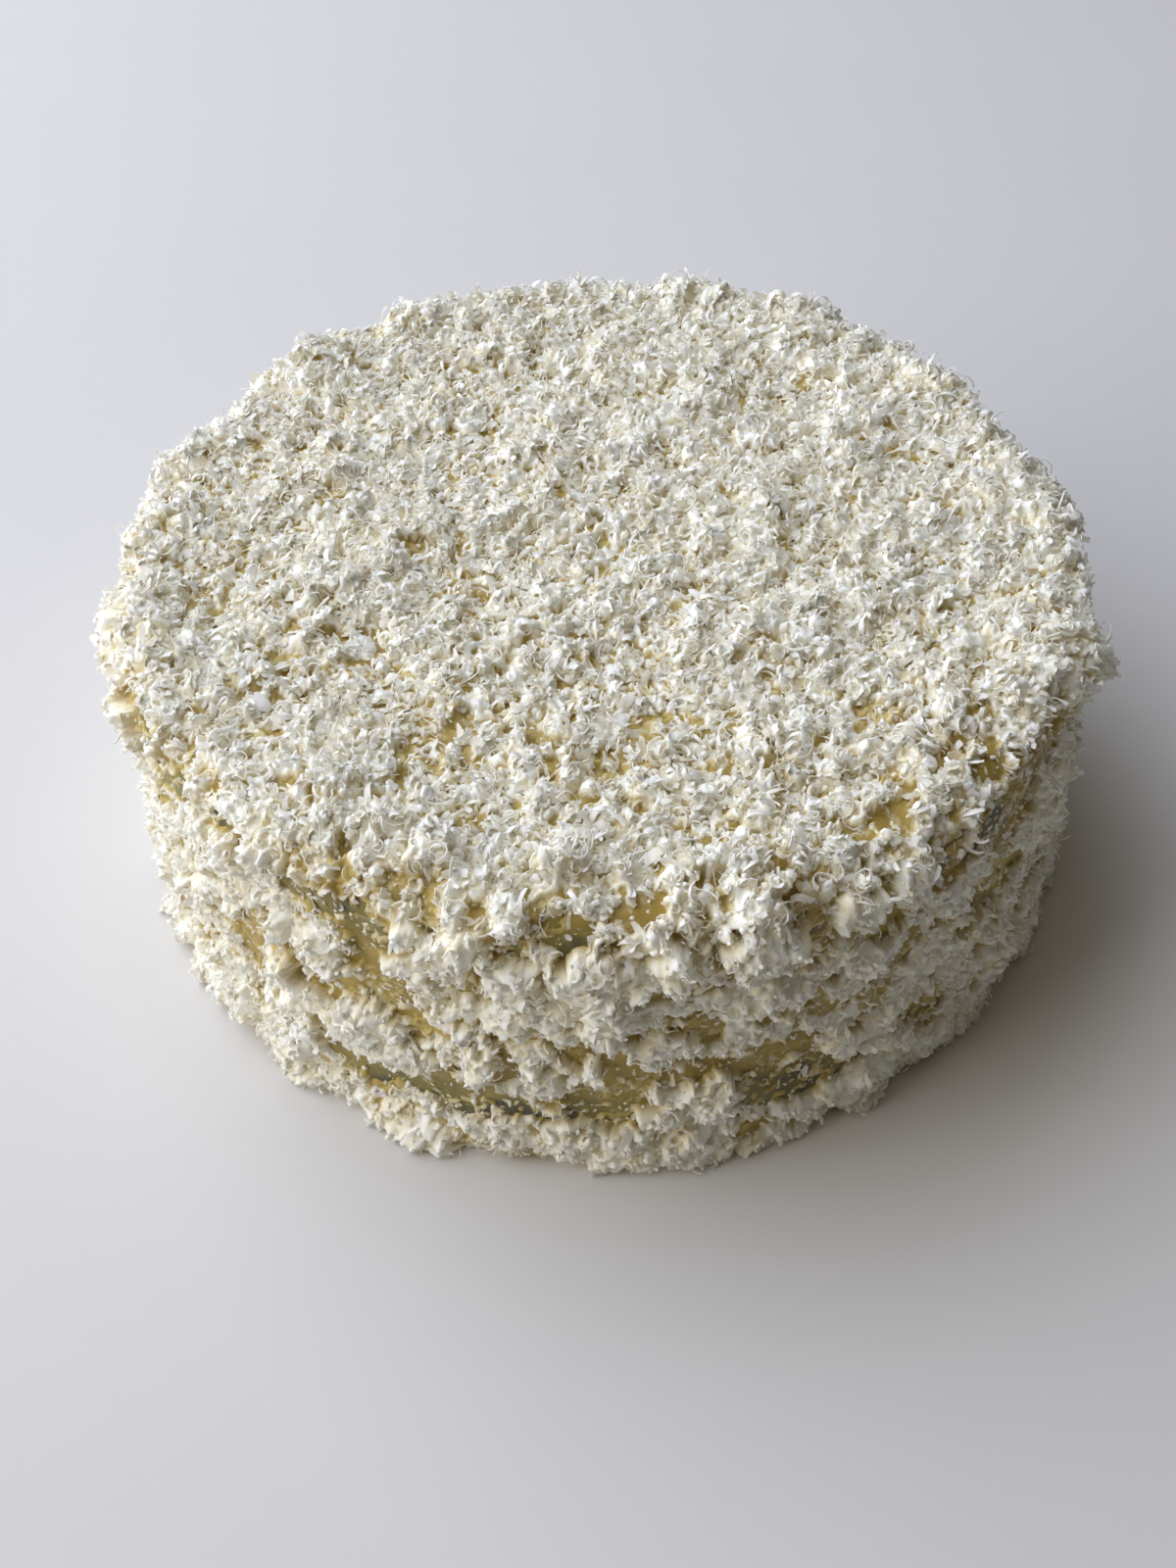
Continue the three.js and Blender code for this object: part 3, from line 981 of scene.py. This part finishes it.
class YEMA_OT_custard(bpy.types.Operator):
    """Adds the cake in its smooth coat of custard."""
    bl_idname = "yema.custard"
    bl_label = "Custard-coated cake"

    def execute(self, context):
        sizes, colours = chosen_settings(context)
        cake = add_drum("custard_body", sizes, CUSTARD_NET)
        points = vertices_of(cake)
        normals = drum_normals(points, sizes.shoulder)
        lift = custard_lift(points, sizes) * smoothstep(points[:, 2], 0, CUSTARD_START)
        set_vertices(cake, points + normals * lift[:, None])
        finish_piece(cake, "custard", yema_custard(colours), "custard_cake")
        return {"FINISHED"}


class YEMA_OT_cheese_bed(bpy.types.Operator):
    """Adds the pressed cheese that the loose shreds lie on, with its clots, tufts and bare gaps."""
    bl_idname = "yema.cheese_bed"
    bl_label = "Pressed cheese"

    def execute(self, context):
        sizes, colours = chosen_settings(context)
        bed = add_drum(BED, sizes, BED_NET)
        points = vertices_of(bed)
        normals = drum_normals(points, sizes.shoulder)
        height, bare, tone = cheese_form(points, normals, sizes)
        rise = smoothstep(points[:, 2], *BED_START)
        moved = points + normals * (height * rise)[:, None]
        # A second, fine push from where each point now is roughens the clots' steep sides too.
        moved = roughened(moved, 1.5 * MM, 0.4 * MM * rise[:, None], 81)
        moved[:, 2] = np.maximum(moved[:, 2], BED_START[0])
        set_vertices(bed, moved)
        for key, value in (("bare", bare), ("tone", tone)):
            values = bed.data.attributes.new(key, "FLOAT", "POINT")
            values.data.foreach_set("value", value.astype(np.float32))
        shade_smooth(bed)
        finish_piece(bed, "cheese", grated_cheese(colours), "cheese_coat")
        return {"FINISHED"}


class YEMA_OT_strips(bpy.types.Operator):
    """Strews the curls, ribbons, threads and broad shavings of cheese."""
    bl_idname = "yema.strips"
    bl_label = "Curls, ribbons, threads and shavings"

    def execute(self, context):
        sizes, colours = chosen_settings(context)
        kinds = (
            ("cheese_curls", CURLS, strip_pattern, sizes.curl_length, sizes.curl_width),
            ("cheese_ribbons", RIBBONS, strip_pattern, sizes.ribbon_length, sizes.ribbon_width),
            ("cheese_threads", THREADS, strip_pattern, sizes.thread_length, sizes.thread_width),
            ("cheese_petals", PETALS, petal_pattern, sizes.petal_length, sizes.petal_width),
        )
        for seed, (name, cut, pattern, usual_length, usual_width) in enumerate(kinds):
            shape = pattern(cut.segments)
            piece = strew_strips(name, cut, shape, sizes, usual_length, usual_width, seed)
            finish_piece(piece, "cheese", grated_cheese(colours))
        return {"FINISHED"}


class YEMA_OT_flakes(bpy.types.Operator):
    """Strews the small flakes of cheese."""
    bl_idname = "yema.flakes"
    bl_label = "Flakes"

    def execute(self, context):
        sizes, colours = chosen_settings(context)
        finish_piece(strew_flakes("cheese_flakes", sizes, 5), "cheese", grated_cheese(colours))
        return {"FINISHED"}


class YEMA_OT_crumbs(bpy.types.Operator):
    """Strews the small crumbs of cheese."""
    bl_idname = "yema.crumbs"
    bl_label = "Crumbs"

    def execute(self, context):
        sizes, colours = chosen_settings(context)
        finish_piece(strew_crumbs("cheese_crumbs", sizes, 6), "cheese", grated_cheese(colours))
        return {"FINISHED"}


# The camera's place, its turns about its own axes, and its lens.
CAMERA_DISTANCE = 490 * MM
CAMERA_ELEVATION = math.radians(48.0)
CAMERA_PITCH = math.radians(0.29)
CAMERA_YAW = math.radians(0.49)
CAMERA_ROLL = math.radians(1.25)
CAMERA_LENS = 46.7
CAMERA_SENSOR = 36


class YEMA_OT_stage(bpy.types.Operator):
    """Adds the plain floor, the soft light and the camera."""
    bl_idname = "yema.stage"
    bl_label = "Stage"

    def execute(self, context):
        scene = context.scene
        deselect_all()
        bpy.ops.mesh.primitive_plane_add(size=12)
        floor = context.object
        floor.name = "floor"
        floor.data.materials.append(painted_floor(scene.yema_colours))

        world = bpy.data.worlds.new("soft room")
        world.use_nodes = True
        background = world.node_tree.nodes["Background"].inputs
        background["Color"].default_value = rgba(linear("#FFF6E4"))
        background["Strength"].default_value = 0.05
        scene.world = world

        self.add_light("window", (-0.90, 0.42, 1.00), 2.0, 36.0, "#DDE7FF")
        self.add_light("ceiling", (-0.60, 0.10, 1.45), 2.6, 9.0, "#FFF6EC")
        self.add_light("low window", (-1.80, -0.86, 0.70), 1.2, 15.5, "#F8F1E6")
        self.add_camera(scene)
        scene.view_settings.view_transform = "Standard"
        # Light goes through many thin shreds before it comes back out of the cheese.
        scene.cycles.diffuse_bounces = 12
        return {"FINISHED"}

    def add_light(self, name, place, size, power, hex_colour):
        """A square lamp that faces the middle of the cake."""
        deselect_all()
        bpy.ops.object.light_add(type="AREA", location=place)
        light = bpy.context.object
        light.name = name
        light.data.shape = "SQUARE"
        light.data.size = size
        light.data.energy = power
        light.data.color = linear(hex_colour)
        aim = Vector((0, 0, DRUM_HEIGHT / 2)) - Vector(place)
        light.rotation_euler = aim.to_track_quat("-Z", "Y").to_euler()

    def add_camera(self, scene):
        """The camera looks at the cake from above its front."""
        ahead = Vector((0, math.cos(CAMERA_ELEVATION), -math.sin(CAMERA_ELEVATION)))
        right = Vector((1, 0, 0))
        bpy.ops.object.camera_add(location=-CAMERA_DISTANCE * ahead)
        camera = bpy.context.object
        axes = Matrix((right, right.cross(ahead), -ahead)).transposed()
        for axis, angle in (("X", CAMERA_PITCH), ("Y", CAMERA_YAW), ("Z", -CAMERA_ROLL)):
            axes = axes @ Matrix.Rotation(angle, 3, axis)
        camera.rotation_euler = axes.to_euler()
        camera.data.sensor_width = CAMERA_SENSOR
        camera.data.lens = CAMERA_LENS
        camera.data.clip_start = 10 * MM
        scene.camera = camera


class YEMA_PT_panel(bpy.types.Panel):
    bl_label = "Yema cake"
    bl_idname = "YEMA_PT_panel"
    bl_space_type = "VIEW_3D"
    bl_region_type = "UI"
    bl_category = "Yema cake"

    def draw(self, context):
        for operator in OPERATORS:
            self.layout.operator(operator.bl_idname)
        for group in chosen_settings(context):
            column = self.layout.column()
            for key in group.__annotations__:
                column.prop(group, key)


OPERATORS = (
    YEMA_OT_custard, YEMA_OT_cheese_bed, YEMA_OT_strips, YEMA_OT_flakes, YEMA_OT_crumbs,
    YEMA_OT_stage,
)
CLASSES = (YemaSizes, YemaColours, *OPERATORS, YEMA_PT_panel)


def register():
    """Makes the sizes, the colours, the operators and the panel known to Blender."""
    for cls in CLASSES:
        bpy.utils.register_class(cls)
    bpy.types.Scene.yema_sizes = PointerProperty(type=YemaSizes)
    bpy.types.Scene.yema_colours = PointerProperty(type=YemaColours)


def unregister():
    """Takes them out again."""
    del bpy.types.Scene.yema_colours
    del bpy.types.Scene.yema_sizes
    for cls in reversed(CLASSES):
        bpy.utils.unregister_class(cls)


def main():
    """Adds every piece and the stage."""
    register()
    bpy.ops.yema.custard()
    bpy.ops.yema.cheese_bed()
    bpy.ops.yema.strips()
    bpy.ops.yema.flakes()
    bpy.ops.yema.crumbs()
    bpy.ops.yema.stage()


if __name__ == "__main__":
    main()
